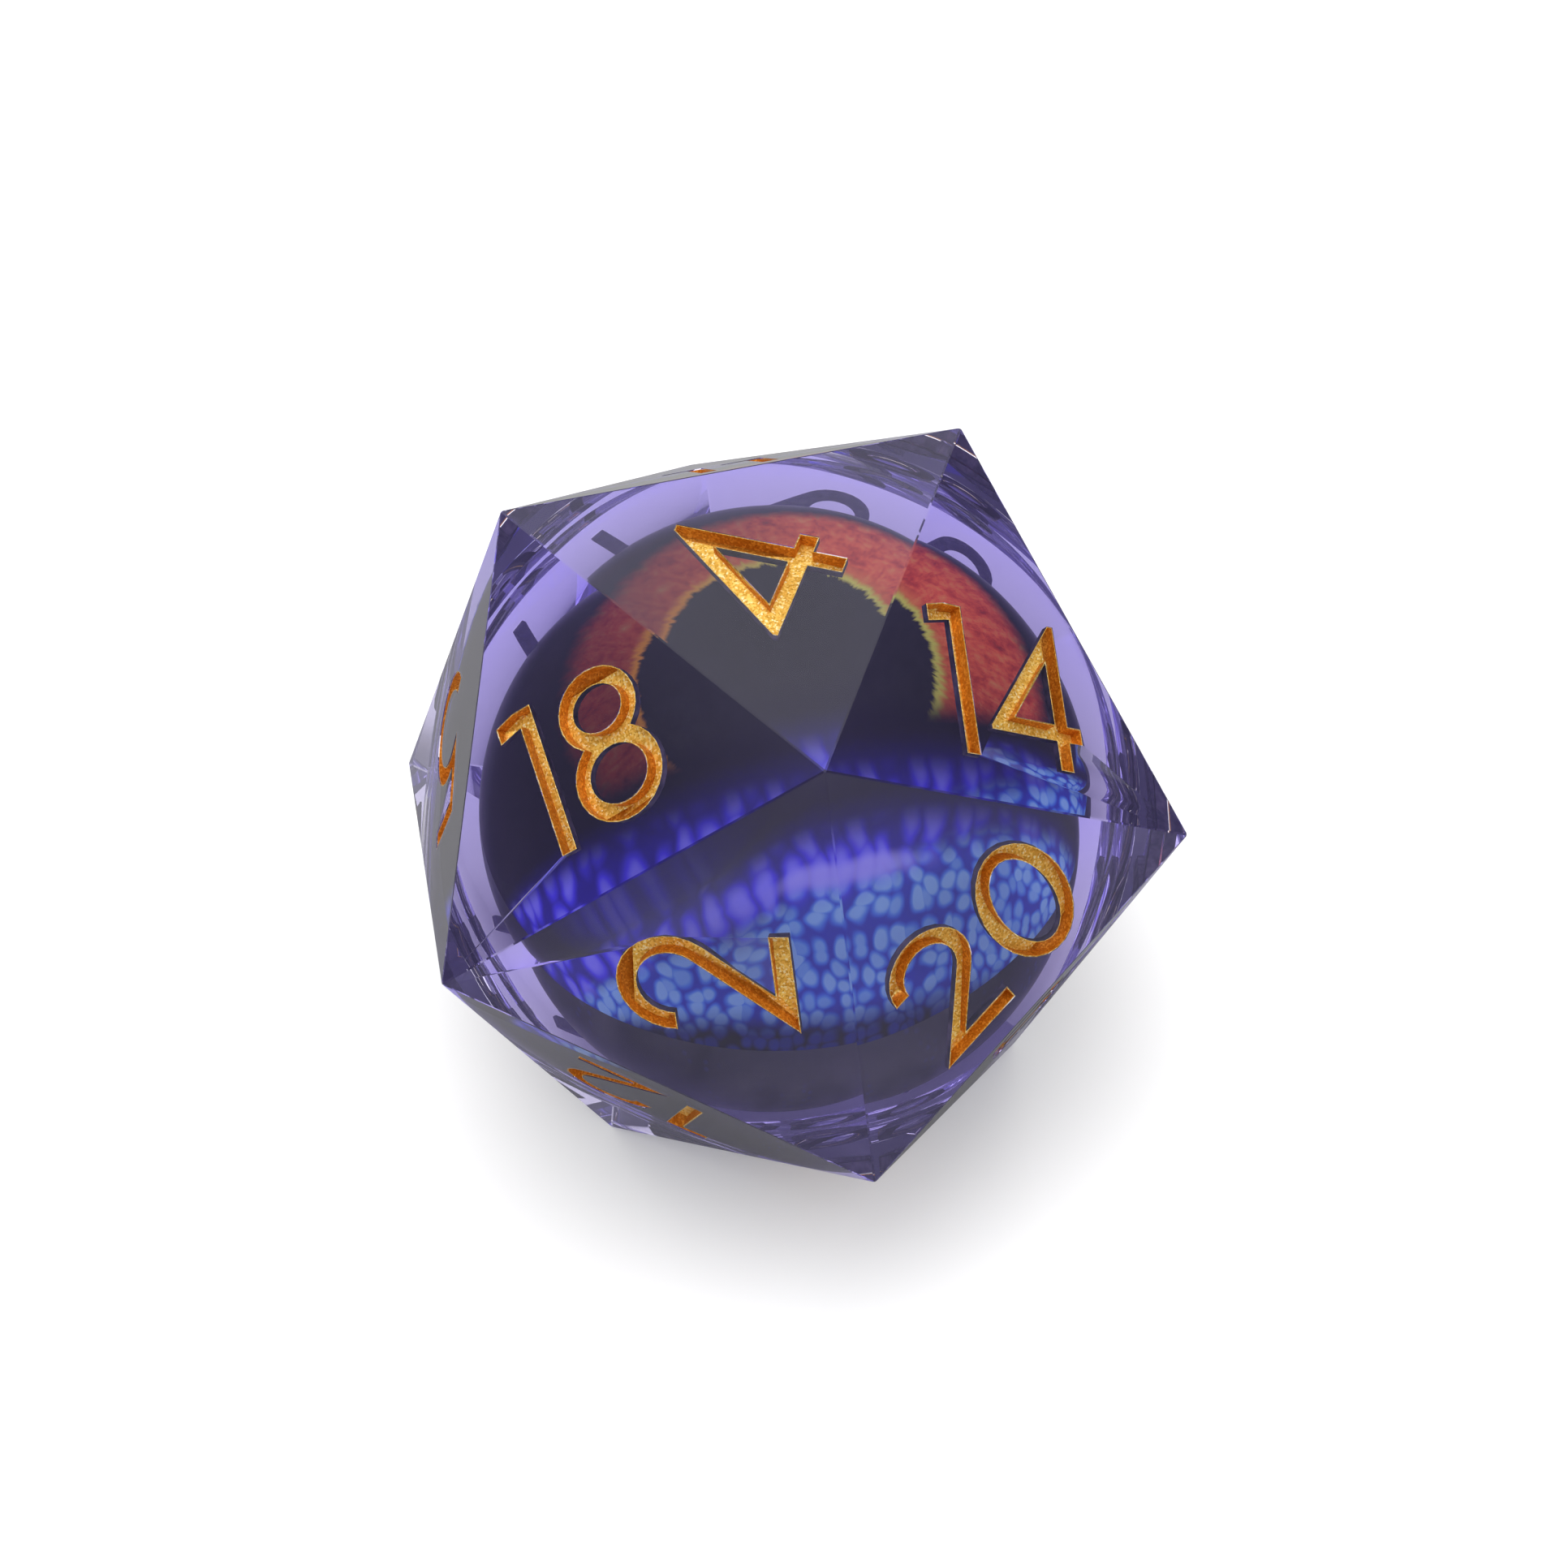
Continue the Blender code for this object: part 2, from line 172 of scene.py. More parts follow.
view = {
    "across": (0.9756, -0.2165, -0.0378),
    "up": (0.19, 0.7442, 0.6403),
    "back": (-0.1105, -0.6319, 0.7672),
    "place": (-0.6533, -3.8467, 4.7106),     # from the die's middle, in edges
    "lens": 61.77,
    "sensor": 36,
}
light = {
    "tent": 1.3,                 # white cloth all round, which lights the inside of the die
    "top": 1.0,                  # what the polished faces mirror: the bright roof
    "sides": 0.12,               # and dark flags at the sides and in front
    "roofEdge": (0.40, 0.72),    # where the mirrored flags end and the roof begins
    "card": 0.9,
    "cardMirrored": 0.3,         # share of the card's white that the faces mirror
    "softbox": 0.9,
}


def mirrorRay(tree):
    # 1 where a surface mirrors the studio, 0 where the studio is seen straight or through the resin
    path = addNode(tree, "LightPath").outputs
    return addNode(tree, "Math", path["Is Glossy Ray"], path["Is Transmission Ray"], operation="SUBTRACT",
                   use_clamp=True)


def buildStage():
    bpy.ops.object.camera_add()
    camera = bpy.context.object
    camera.name = "camera"
    camera.matrix_world = Matrix((view["across"], view["up"], view["back"])).transposed().to_4x4()
    camera.location = centre + edge * Vector(view["place"])
    camera.data.sensor_width = view["sensor"]
    camera.data.lens = view["lens"]
    camera.data.clip_start = 1 * mm
    camera.data.clip_end = 10
    bpy.context.scene.camera = camera

    deselectAll()
    bpy.ops.mesh.primitive_circle_add(vertices=96, radius=1.5, fill_type="NGON", location=(0, 0, 0))
    floor = bpy.context.object
    floor.name = "floor"
    material, tree, shader = newMaterial("whiteCard")
    dimming = light["card"] * (light["cardMirrored"] - 1)
    shade = addNode(tree, "Math", mirrorRay(tree), dimming, light["card"], operation="MULTIPLY_ADD")
    feed(shader.inputs["Base Color"], shade)
    shader.inputs["Roughness"].default_value = 0.8
    floor.data.materials.append(material)

    world = bpy.data.worlds.new("lightTent")
    bpy.context.scene.world = world
    world.use_nodes = True
    tree = world.node_tree
    direction = addNode(tree, "TexCoord").outputs["Generated"]
    height = addNode(tree, "SeparateXYZ", direction).outputs[2]
    roof = addNode(tree, "MapRange", height, *light["roofEdge"], interpolation_type="SMOOTHSTEP")
    mirrored = addNode(tree, "Math", roof, light["top"] - light["sides"], light["sides"],
                       operation="MULTIPLY_ADD")
    level = addNode(tree, "Mix", mirrorRay(tree), light["tent"], mirrored).outputs[0]
    feed(tree.nodes["Background"].inputs["Strength"], level)
    tree.nodes["Background"].inputs["Color"].default_value = linear("#ffffff")

    bpy.ops.object.light_add(type="AREA", location=(-0.04, -0.02, 0.5))
    lamp = bpy.context.object
    lamp.name = "softbox"
    lamp.data.shape = "DISK"
    lamp.data.size = 0.34
    lamp.data.energy = light["softbox"]
    bpy.context.scene.view_settings.view_transform = "Standard"
    print("stage: camera, floor, tent and softbox")


# The cast resin

die = {
    "bevel": 0.05 * mm,          # the polished edges are nearly sharp
    "cavity": 15.0 * mm,         # radius of the hole that the ball fills
    "cavitySegments": 128,
    "index": 1.55,               # epoxy against air
    "indexStep": 1.04,           # and against the acrylic ball
    "dye": 24.0,
    "dyeColour": (0.32, 0.20, 0.76, 1),
    # painted glow: strength and colour of a violet light that the resin gives off by itself
    "paintedGlow": 5.0,
    "paintedGlowColour": (0.48, 0.40, 1.0, 1),
}


def tintAndPaintedGlow(tree):
    # the dye takes out green and red; a violet emission in the volume adds painted glow, light that the resin
    # gives off by itself where it is thick
    absorption = addNode(tree, "VolumeAbsorption", named={"Density": die["dye"], "Color": die["dyeColour"]})
    paintedGlow = addNode(tree, "Emission", named={"Color": die["paintedGlowColour"], "Strength": die["paintedGlow"]})
    return addNode(tree, "AddShader", absorption.outputs[0], paintedGlow.outputs[0]).outputs[0]


def castResinMaterials():
    # tinted epoxy, cast in a polished mould and buffed: clear and glossy, violet where it is thick, from its
    # dye and from a painted violet glow;
    # where it wets the ball, light bends only by the small step between epoxy and acrylic
    outside = clearMaterial("castEpoxy", die["index"])
    wetted = clearMaterial("epoxyOnAcrylic", die["indexStep"])
    for material in (outside, wetted):
        tree = material.node_tree
        feed(tree.nodes["Material Output"].inputs["Volume"], tintAndPaintedGlow(tree))
    return outside, wetted


def buildBlank():
    deselectAll()
    bpy.ops.mesh.primitive_ico_sphere_add(subdivisions=1, radius=edge * math.sin(math.radians(72)))
    body = bpy.context.object
    body.name = "castResin"
    body.rotation_mode = "QUATERNION"
    top = max(body.data.polygons, key=lambda face: face.normal.z)
    level = top.normal.rotation_difference(Vector((0, 0, 1)))
    corner = level @ body.data.vertices[top.vertices[0]].co
    turn = Matrix.Rotation(-math.pi / 2 - math.atan2(corner.y, corner.x), 3, "Z").to_quaternion()
    body.rotation_quaternion = turn @ level
    body.location = centre
    applyPlace(body)
    body.rotation_mode = "XYZ"
    print("resin: blank of", len(body.data.polygons), "faces")
    return body


def hollowResin(body, cutters, resin, wetted):
    addModifier(body, "BEVEL", width=die["bevel"], segments=1, limit_method="NONE")

    hollow = addSphere(die["cavity"], die["cavitySegments"], centre)
    for cutter in cutters:
        cutter.select_set(True)
    bpy.ops.object.join()
    addModifier(body, "BOOLEAN", object=hollow, operation="DIFFERENCE", solver="EXACT")
    applyModifiers(body)
    bpy.data.objects.remove(hollow)
    body.data.materials.append(resin)
    body.data.materials.append(wetted)
    for face in body.data.polygons:
        face.material_index = int((face.center - centre).length < die["cavity"] + 0.1 * mm)
    activate(body)
    bpy.ops.object.shade_smooth_by_angle(angle=math.radians(18))
    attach(body, "die")
    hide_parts("resin_first_pour", "resin_second_pour")
    print("resin: hollowed and engraved,", len(body.data.polygons), "faces")


# Numerals: one cutter for the grooves, and a thin coat of paint in each

numerals = {
    "proud": 0.30 * mm,          # how far a groove's cutter stands above the face
    "lip": 0.05 * mm,            # bare resin above the paint on a groove's wall
    "thickness": 0.05 * mm,
    "embedded": -0.2,            # share of the paint's thickness that soaks into the resin's side
    "flakes": 11000.0,           # mica flakes per metre, so 0.09 mm each
}


def goldPaintMaterial():
    # metallic acrylic paint, flooded into the grooves and wiped: mica flakes glitter on the floor,
    # and the walls show a darker, browner orange, partly the thinner coat and partly painted shade inside the
    # groove
    material, tree, shader = newMaterial("goldMicaPaint")
    place = addNode(tree, "TexCoord")
    point = addNode(tree, "VectorMath", place.outputs["Object"], centre, operation="SUBTRACT").outputs[0]
    outward = addNode(tree, "VectorMath", point, operation="NORMALIZE").outputs[0]
    facing = addNode(tree, "VectorMath", place.outputs["Normal"], outward,
                     operation="DOT_PRODUCT").outputs["Value"]
    floorShare = addNode(tree, "MapRange", facing, 0.55, 0.75, interpolation_type="SMOOTHSTEP")
    flakes = addNode(tree, "TexVoronoi",
                     named={"Vector": place.outputs["Object"], "Scale": numerals["flakes"]})
    spread = addNode(tree, "SeparateColor", named={"Color": flakes.outputs["Color"]})
    cloud = addNode(tree, "TexNoise",
                    named={"Vector": place.outputs["Object"], "Scale": 900.0, "Detail": 3.0})
    flakeTone = addNode(tree, "ValToRGB", spread.outputs[0],
                        stops=[(0.0, "#c8942c"), (0.45, "#eeba4c"), (0.8, "#ffd970"), (1.0, "#fff6c4")])
    # the walls' darker, browner orange is partly painted shade inside the groove
    shadedWallTone = addNode(tree, "ValToRGB", spread.outputs[1],
                       stops=[(0.0, "#b5650f"), (0.6, "#d07c1c"), (1.0, "#f0a43c")])
    tone = addNode(tree, "Mix", floorShare, shadedWallTone, flakeTone, data_type="RGBA")
    tone = addNode(tree, "Mix", addNode(tree, "Math", cloud.outputs[0], 0.22, operation="MULTIPLY"), tone,
                   "#ac7424", data_type="RGBA")
    feed(shader.inputs["Base Color"], tone)
    shader.inputs["Metallic"].default_value = 0.55
    shade = addNode(tree, "Math", spread.outputs[2], 0.25, 0.32, operation="MULTIPLY_ADD")
    feed(shader.inputs["Roughness"], shade)
    bump = addNode(tree, "Bump",
                   named={"Height": spread.outputs[0], "Strength": 0.35, "Distance": 0.02 * mm})
    feed(shader.inputs["Normal"], bump.outputs[0])
    return material


def soakedPaint():
    # the paint's back, wetted by the resin: a dull violet grey, as a painted groove looks from inside
    material, tree, shader = newMaterial("paintAgainstEpoxy")
    place = addNode(tree, "TexCoord").outputs["Object"]
    cloud = addNode(tree, "TexNoise", named={"Vector": place, "Scale": 1200.0, "Detail": 3.0}).outputs[0]
    tone = addNode(tree, "ValToRGB", cloud, stops=[(0.35, "#3c3654"), (0.55, "#544c6c"), (0.75, "#6c6080")])
    feed(shader.inputs["Base Color"], tone)
    shader.inputs["Roughness"].default_value = 0.7
    shader.inputs["IOR"].default_value = 1.06
    return material


def outlinePrism(node, name):
    # a CAD inlay as one closed prism, with the face's outward direction
    piece = bpy.data.objects.new(name, node.data.copy())
    bpy.context.scene.collection.objects.link(piece)
    piece.data.materials.clear()
    activate(piece)
    bpy.ops.object.mode_set(mode="EDIT")
    bpy.ops.mesh.select_all(action="SELECT")
    bpy.ops.mesh.remove_doubles(threshold=0.0005 * mm)
    bpy.ops.object.mode_set(mode="OBJECT")
    middle = sum((corner.co for corner in piece.data.vertices), Vector()) / len(piece.data.vertices)
    blank = bpy.data.objects["castResin"].data
    outward = min(blank.polygons, key=lambda face: (face.center - middle).length).normal.copy()
    return piece, outward


def raiseTop(piece, outward, height):
    # moves the prism's outer cap to a height above or below the die's face
    selectFaces(piece, lambda face: face.normal.dot(outward) > 0.99)
    bpy.ops.object.mode_set(mode="OBJECT")
    cap = next(face for face in piece.data.polygons if face.normal.dot(outward) > 0.99)
    travel = centre.z + height - (cap.center - centre).dot(outward)
    bpy.ops.object.mode_set(mode="EDIT")
    bpy.ops.transform.translate(value=outward * travel)


def buildNumerals(back, paint):
    cutters = []
    names = sorted(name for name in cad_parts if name.startswith("paint_"))
    for name in names:
        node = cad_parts[name]
        cutter, outward = outlinePrism(node, "cutter")
        raiseTop(cutter, outward, numerals["proud"])
        bpy.ops.object.mode_set(mode="OBJECT")
        cutters.append(cutter)

        number, part = name.split("_")[1:]
        coat, outward = outlinePrism(node, f"goldPaint{number}{part.title()}")
        raiseTop(coat, outward, -numerals["lip"])
        bpy.ops.mesh.delete(type="FACE")
        bpy.ops.object.mode_set(mode="OBJECT")
        addModifier(coat, "SOLIDIFY", thickness=numerals["thickness"], offset=numerals["embedded"],
                    use_even_offset=True, material_offset=1, material_offset_rim=1)
        coat.data.materials.append(back)
        coat.data.materials.append(paint)
        applyModifiers(coat)
        bpy.ops.object.shade_smooth_by_angle(angle=math.radians(18))
        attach(coat, "die")
        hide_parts(name)
    print("numerals:", len(names), "painted grooves")
    return cutters


# The ball and the liquid in it

ball = {
    "outside": 14.98 * mm,
    "wall": 0.58 * mm,
    "segments": 128,
    "indexStep": 1.0205,         # acrylic against the liquid
}
liquid = {
    "radius": 14.36 * mm,
    "segments": 96,
}


def acrylicInside():
    # moulded acrylic against the liquid: its wet inner wall shows only as a thin bright ring
    return clearMaterial("acrylicOnLiquid", ball["indexStep"])


def buildBall(bonded, inside):
    shell = addSphere(ball["outside"], ball["segments"], centre)
    shell.name = "coreBall"
    shell.data.materials.append(bonded)
    shell.data.materials.append(inside)
    addModifier(shell, "SOLIDIFY", thickness=ball["wall"], offset=-1, material_offset=1)
    applyModifiers(shell)
    bpy.ops.object.shade_smooth()
    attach(shell, "die")
    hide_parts("ball_lower", "ball_upper", "fill_plug")
    print("ball: acrylic shell")


def buildLiquid(clear):
    fill = addSphere(liquid["radius"], liquid["segments"], centre)
    fill.name = "clearFill"
    fill.data.materials.append(clear)
    bpy.ops.object.shade_smooth()
    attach(fill, "liquid")
    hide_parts("liquid_fill")
    print("liquid: fills the ball")


# The eye

eye = {
    "radius": 12.5 * mm,
    "wall": 0.8 * mm,
    "seam": 0.05 * mm,           # gap between the cap and the hull
    "segments": 160,
    "indexStep": 1.06,           # film against the liquid
    # the picture, in degrees to the right of the top and away from the camera
    "pupil": ((1.2, -10.5), (25.5, 25.0)),   # middle and radii
    "iris": ((9.0, -7.0), (54.0, 50.0)),
    "gleam": ((6.0, -46.0), (16.0, 3.6)),
    "lidEdge": (0.0012, -35.0),              # bend and height of the lower lid's two edges
    "lidFoot": (0.0034, -87.0),
    "lidMiddle": 12.0,
    "pebbles": 0.205,                        # scales per degree
    "tallScales": 0.15,
    "screen": 10.8,                          # printed dots 0.13 mm apart
}


def eyeCoordinates(tree):
    # the picture's own map: degrees from the eye's top, laid out flat
    place = addNode(tree, "TexCoord")
    low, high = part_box("eye_cap")
    eyeCentre = (low.x + high.x) / 2, 0.0, high.z - eye["radius"]
    point = addNode(tree, "VectorMath", place.outputs["Object"], eyeCentre, operation="SUBTRACT").outputs[0]
    outward = addNode(tree, "VectorMath", point, operation="NORMALIZE").outputs[0]
    parts = addNode(tree, "SeparateXYZ", outward)
    polar = addNode(tree, "Math", addNode(tree, "Math", parts.outputs[2], 0.99999, operation="MINIMUM"),
                    operation="ARCCOSINE")
    stretch = addNode(tree, "Math", polar, addNode(tree, "Math", polar, operation="SINE"),
                      operation="DIVIDE")
    stretch = addNode(tree, "Math", stretch, math.degrees(1), operation="MULTIPLY")
    right = addNode(tree, "Math", parts.outputs[0], stretch, operation="MULTIPLY")
    away = addNode(tree, "Math", parts.outputs[1], stretch, operation="MULTIPLY")
    flat = addNode(tree, "CombineXYZ", right, away).outputs[0]
    return right, away, flat


def ellipse(tree, right, away, middle, radii):
    # distance from an ellipse's middle, 1 on its outline, with the angle round it
    across = addNode(tree, "Math", addNode(tree, "Math", right, middle[0], operation="SUBTRACT"), radii[0],
                     operation="DIVIDE")
    along = addNode(tree, "Math", addNode(tree, "Math", away, middle[1], operation="SUBTRACT"), radii[1],
                    operation="DIVIDE")
    squared = addNode(tree, "Math", across, across,
                      addNode(tree, "Math", along, along, operation="MULTIPLY"), operation="MULTIPLY_ADD")
    turn = addNode(tree, "Math", along, across, operation="ARCTAN2")
    return addNode(tree, "Math", squared, operation="SQRT"), turn


def reptileEyeMaterial():
    # a glossy printed film on the eye: a reptile's eye between scaly lids, with a fine dot screen
    material, tree, shader = newMaterial("printedEyeFilm")
    right, away, flat = eyeCoordinates(tree)

    # iris, red and fibrous
    toIris, turn = ellipse(tree, right, away, *eye["iris"])
    toPupil, _ = ellipse(tree, right, away, *eye["pupil"])
    rays = addNode(tree, "CombineXYZ", addNode(tree, "Math", turn, 5.0, operation="MULTIPLY"),
                   addNode(tree, "Math", toIris, 2.2, operation="MULTIPLY")).outputs[0]
    fibres = addNode(tree, "TexNoise",
                     named={"Vector": rays, "Scale": 2.2, "Detail": 6.0, "Roughness": 0.65,
                            "Distortion": 0.6}).outputs[0]
    mottle = addNode(tree, "TexNoise",
                     named={"Vector": flat, "Scale": 0.22, "Detail": 7.0, "Roughness": 0.7,
                            "Distortion": 0.4}).outputs[0]
    grain = addNode(tree, "Math", fibres, 0.45, addNode(tree, "Math", mottle, 0.55, operation="MULTIPLY"),
                    operation="MULTIPLY_ADD")
    iris = addNode(tree, "ValToRGB", grain,
                   stops=[(0.30, "#8c2018"), (0.42, "#d84028"), (0.52, "#fa663c"), (0.62, "#ff9252"),
                          (0.74, "#ffcc80")])
    # the left side lies in shade
    sunny = addNode(tree, "MapRange", right, -34.0, 20.0, interpolation_type="SMOOTHSTEP")
    iris = addNode(tree, "Mix", sunny, addNode(tree, "Mix", 0.72, iris, "#241018", data_type="RGBA"), iris,
                   data_type="RGBA")
    rimGlow = addNode(tree, "Math",
                      addNode(tree, "MapRange", toPupil, 1.32, 1.02, interpolation_type="SMOOTHSTEP"),
                      sunny, operation="MULTIPLY")
    iris = addNode(tree, "Mix", addNode(tree, "Math", rimGlow, 0.55, operation="MULTIPLY"), iris, "#e08a3c",
                   data_type="RGBA")

    # the pupil's ragged yellow-green edge
    ragged = addNode(tree, "Math", fibres, 0.22, addNode(tree, "Math", toPupil, 0.11, operation="SUBTRACT"),
                     operation="MULTIPLY_ADD")
    fringe = addNode(tree, "Mix",
                     addNode(tree, "MapRange", right, -20.0, 12.0, interpolation_type="SMOOTHSTEP"),
                     "#d8902c", "#e4e05a", data_type="RGBA")
    picture = addNode(tree, "Mix",
                      addNode(tree, "MapRange", ragged, 1.13, 1.03, interpolation_type="SMOOTHSTEP"), iris,
                      fringe, data_type="RGBA")
    pupil = addNode(tree, "Mix", mottle, "#0d0e10", "#2b2c2f", data_type="RGBA")
    picture = addNode(tree, "Mix",
                      addNode(tree, "MapRange", ragged, 1.03, 0.97, interpolation_type="SMOOTHSTEP"),
                      picture, pupil, data_type="RGBA")

    # dark ring round the iris
    edgeOfIris = addNode(tree, "Math", fibres, 0.16,
                         addNode(tree, "Math", toIris, 0.08, operation="SUBTRACT"),
                         operation="MULTIPLY_ADD")
    picture = addNode(tree, "Mix",
                      addNode(tree, "MapRange", edgeOfIris, 0.84, 1.02, interpolation_type="SMOOTHSTEP"),
                      picture, "#14121a", data_type="RGBA")

    # scaly lids, below and above
    squareRight = addNode(tree, "Math", right, right, operation="MULTIPLY")
    lidEdge = addNode(tree, "Math", squareRight, *eye["lidEdge"], operation="MULTIPLY_ADD")
    offMiddle = addNode(tree, "Math", right, eye["lidMiddle"], operation="SUBTRACT")
    lidFoot = addNode(tree, "Math", addNode(tree, "Math", offMiddle, offMiddle, operation="MULTIPLY"),
                      *eye["lidFoot"], operation="MULTIPLY_ADD")
    height = addNode(tree, "Math", addNode(tree, "Math", away, lidFoot, operation="SUBTRACT"),
                     addNode(tree, "Math", lidEdge, lidFoot, operation="SUBTRACT"), operation="DIVIDE")
    wobble = addNode(tree, "TexNoise", named={"Vector": flat, "Scale": 0.06, "Detail": 2.0})
    bent = addNode(tree, "VectorMath", wobble.outputs["Color"], (9.0, 9.0, 0.0), flat,
                   operation="MULTIPLY_ADD").outputs[0]
    cells = addNode(tree, "TexVoronoi", named={"Vector": bent, "Scale": eye["pebbles"], "Randomness": 0.72},
                    voronoi_dimensions="2D")
    pebbleTone = addNode(tree, "SeparateColor", named={"Color": cells.outputs["Color"]}).outputs[0]
    crowns = addNode(tree, "MapRange", cells.outputs["Distance"], 0.68, 0.24, interpolation_type="SMOOTHSTEP")
    tone = addNode(tree, "Math", pebbleTone, 0.40, 0.66, operation="MULTIPLY_ADD")
    domes = addNode(tree, "Math", crowns, tone, operation="MULTIPLY")
    pebbles = addNode(tree, "ValToRGB", domes,
                      stops=[(0.0, "#3444b8"), (0.25, "#4472dc"), (0.55, "#5f9cea"), (0.9, "#9cd2f6")])
    tall = addNode(tree, "Mapping", named={"Vector": bent, "Scale": (1.0, 0.42, 1.0)}).outputs[0]
    tallCells = addNode(tree, "TexVoronoi",
                        named={"Vector": tall, "Scale": eye["tallScales"], "Randomness": 0.55},
                        voronoi_dimensions="2D")
    ridges = addNode(tree, "MapRange", tallCells.outputs["Distance"], 0.62, 0.12,
                     interpolation_type="SMOOTHSTEP")
    fringeScales = addNode(tree, "ValToRGB", ridges,
                           stops=[(0.0, "#2c2298"), (0.5, "#5044ee"), (1.0, "#8c8aff")])
    leaning = addNode(tree, "Math", right, -0.004, height, operation="MULTIPLY_ADD")
    scales = addNode(tree, "Mix",
                     addNode(tree, "MapRange", leaning, 0.60, 0.80, interpolation_type="SMOOTHSTEP"),
                     pebbles, fringeScales, data_type="RGBA")
    gleam, _ = ellipse(tree, right, away, *eye["gleam"])
    shine = addNode(tree, "MapRange", gleam, 1.1, 0.3, interpolation_type="SMOOTHSTEP")
    scales = addNode(tree, "Mix", addNode(tree, "Math", shine, 0.7, operation="MULTIPLY"), scales, "#b9b6ff",
                     data_type="RGBA")
    lidMask = addNode(tree, "Math",
                      addNode(tree, "MapRange", height, 1.05, 0.82, interpolation_type="SMOOTHSTEP"),
                      addNode(tree, "MapRange", height, 0.0, 0.24, interpolation_type="SMOOTHSTEP"),
                      operation="MULTIPLY")
    picture = addNode(tree, "Mix",
                      addNode(tree, "MapRange", height, 1.32, 1.16, interpolation_type="SMOOTHSTEP"),
                      picture, "#0e0c1c", data_type="RGBA")
    picture = addNode(tree, "Mix",
                      addNode(tree, "MapRange", height, 1.15, 0.98, interpolation_type="SMOOTHSTEP"),
                      picture, "#191258", data_type="RGBA")
    skirt = addNode(tree, "Mix", addNode(tree, "Math", domes, 0.30, operation="MULTIPLY"), "#0b0c18",
                    "#3a50c8", data_type="RGBA")
    picture = addNode(tree, "Mix",
                      addNode(tree, "MapRange", height, 0.16, 0.02, interpolation_type="SMOOTHSTEP"),
                      picture, skirt, data_type="RGBA")
    picture = addNode(tree, "Mix", lidMask, picture, scales, data_type="RGBA")

    upperLid = addNode(tree, "Math",
                       addNode(tree, "MapRange", away, 56.0, 64.0, interpolation_type="SMOOTHSTEP"),
                       addNode(tree, "MapRange", away, 96.0, 84.0, interpolation_type="SMOOTHSTEP"),
                       operation="MULTIPLY")
    picture = addNode(tree, "Mix", upperLid, picture, scales, data_type="RGBA")

    # the screen of fine dots that the picture is printed with
    rows, columns = (addNode(tree, "Math", addNode(tree, "Math", way, eye["screen"], operation="MULTIPLY"),
                             operation="SINE") for way in (right, away))
    dots = addNode(tree, "Math", rows, columns, operation="MULTIPLY")
    faint = addNode(tree, "Math", dots, 0.16, operation="MULTIPLY", use_clamp=True)
    picture = addNode(tree, "Mix", faint, picture, "#ffffff", data_type="RGBA", blend_type="OVERLAY")
    feed(shader.inputs["Base Color"], picture)
    shader.inputs["Roughness"].default_value = 0.28
    shader.inputs["IOR"].default_value = eye["indexStep"]
    bump = addNode(tree, "Bump", named={"Height": mottle, "Strength": 0.04, "Distance": 0.03 * mm})
    feed(shader.inputs["Normal"], bump.outputs[0])
    return material


def hullMaterial():
    # moulded ABS under the film's dark skirt: near black with faint rows of blue scales
    material, tree, shader = newMaterial("darkMouldedAbs")
    flat = eyeCoordinates(tree)[2]
    cells = addNode(tree, "TexVoronoi", named={"Vector": flat, "Scale": 0.22, "Randomness": 0.6},
                    voronoi_dimensions="2D")
    dots = addNode(tree, "MapRange", cells.outputs["Distance"], 0.32, 0.10, interpolation_type="SMOOTHSTEP")
    patches = addNode(tree, "TexNoise", named={"Vector": flat, "Scale": 0.05, "Detail": 3.0}).outputs[0]
    dots = addNode(tree, "Math", dots,
                   addNode(tree, "MapRange", patches, 0.50, 0.68, interpolation_type="SMOOTHSTEP"),
                   operation="MULTIPLY")
    tone = addNode(tree, "Mix", dots, "#0b0c16", "#1b2257", data_type="RGBA")
    feed(shader.inputs["Base Color"], tone)
    rough = addNode(tree, "Math", patches, 0.2, 0.3, operation="MULTIPLY_ADD")
    feed(shader.inputs["Roughness"], rough)
    return material


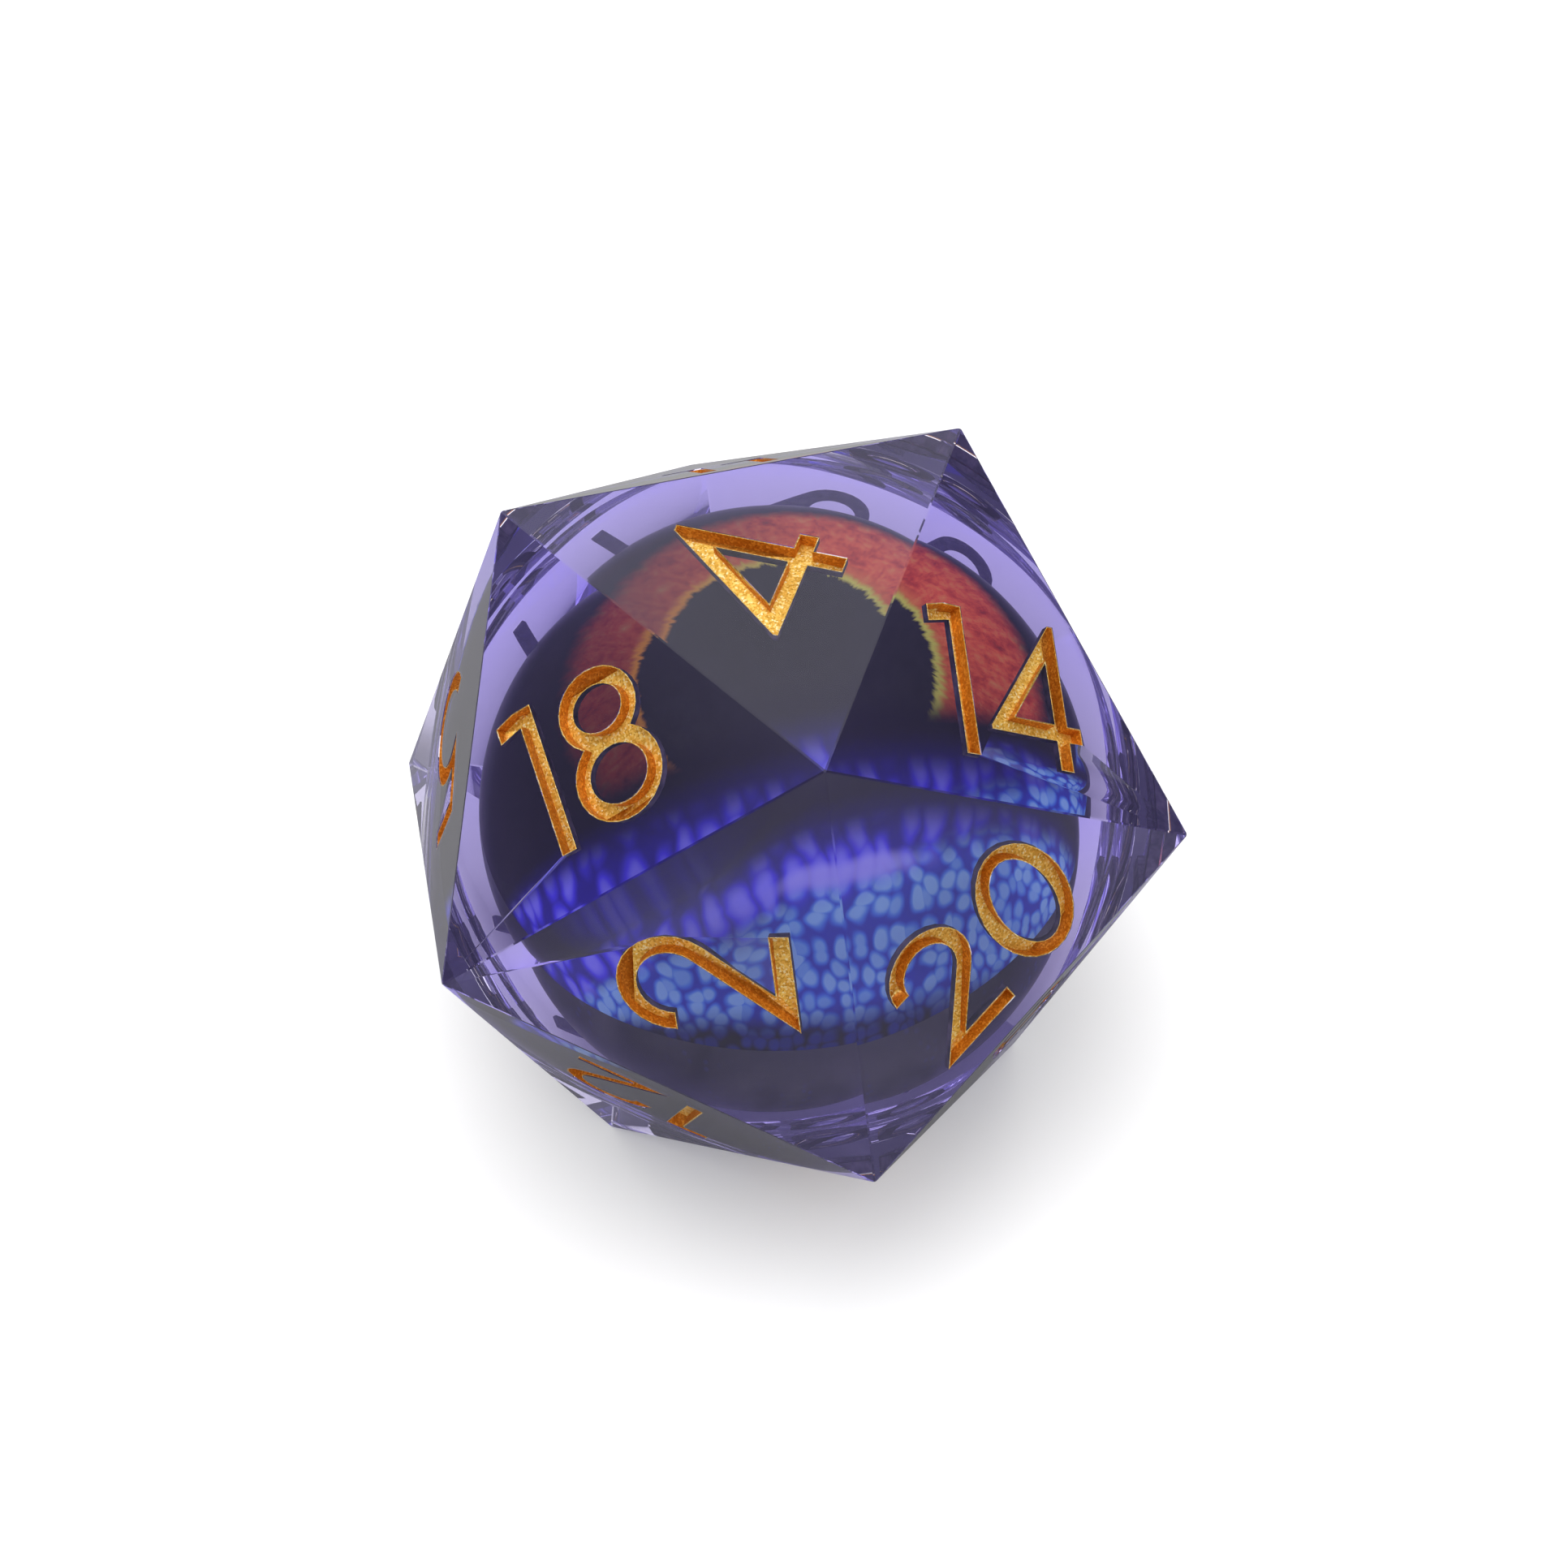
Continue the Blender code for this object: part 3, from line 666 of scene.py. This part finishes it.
def ballastMaterial():
    # turned mild steel, seen only when the eye is opened: fine rings left by the tool
    material, tree, shader = newMaterial("turnedSteel")
    place = addNode(tree, "TexCoord")
    rings = addNode(tree, "TexWave",
                    named={"Vector": place.outputs["Object"], "Scale": 2500.0, "Distortion": 0.4},
                    wave_type="RINGS", rings_direction="Z").outputs["Fac"]
    tone = addNode(tree, "Mix", rings, "#8f9196", "#b4b6ba", data_type="RGBA")
    feed(shader.inputs["Base Color"], tone)
    shader.inputs["Metallic"].default_value = 1.0
    rough = addNode(tree, "Math", rings, 0.15, 0.28, operation="MULTIPLY_ADD")
    feed(shader.inputs["Roughness"], rough)
    return material


def buildEye(film, hullAbs):
    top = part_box("eye_cap")[1].z
    middle = Vector((0, 0, top - eye["radius"]))
    for name, side, node, slot, material in (("eyeCap", 1, "eye_cap", "printed_cap", film),
                                             ("eyeHull", -1, "eye_hull", "dark_hull", hullAbs)):
        half = addSphere(eye["radius"] - eye["seam"] / 2, eye["segments"], middle)
        half.name = name
        bpy.ops.object.mode_set(mode="EDIT")
        bpy.ops.mesh.select_all(action="SELECT")
        bpy.ops.mesh.bisect(plane_co=middle + Vector((0, 0, side * eye["seam"] / 2)), plane_no=(0, 0, side),
                            clear_inner=True)
        bpy.ops.object.mode_set(mode="OBJECT")
        addModifier(half, "SOLIDIFY", thickness=eye["wall"], offset=-1, use_even_offset=True)
        applyModifiers(half)
        bpy.ops.object.shade_smooth_by_angle(angle=math.radians(30))
        half.data.materials.append(material)
        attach(half, "eye")
        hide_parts(node)
    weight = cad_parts["eye_ballast"]
    weight.data.materials.clear()
    weight.data.materials.append(ballastMaterial())
    print("eye: printed cap, hull and weight")


buildStage()
resin, wetted = castResinMaterials()
blank = buildBlank()
hollowResin(blank, buildNumerals(soakedPaint(), goldPaintMaterial()), resin, wetted)
buildBall(clearSkin("acrylicInEpoxy", "#ffffff"), acrylicInside())
buildLiquid(clearSkin("clearOil", "#fdfcff"))
buildEye(reptileEyeMaterial(), hullMaterial())
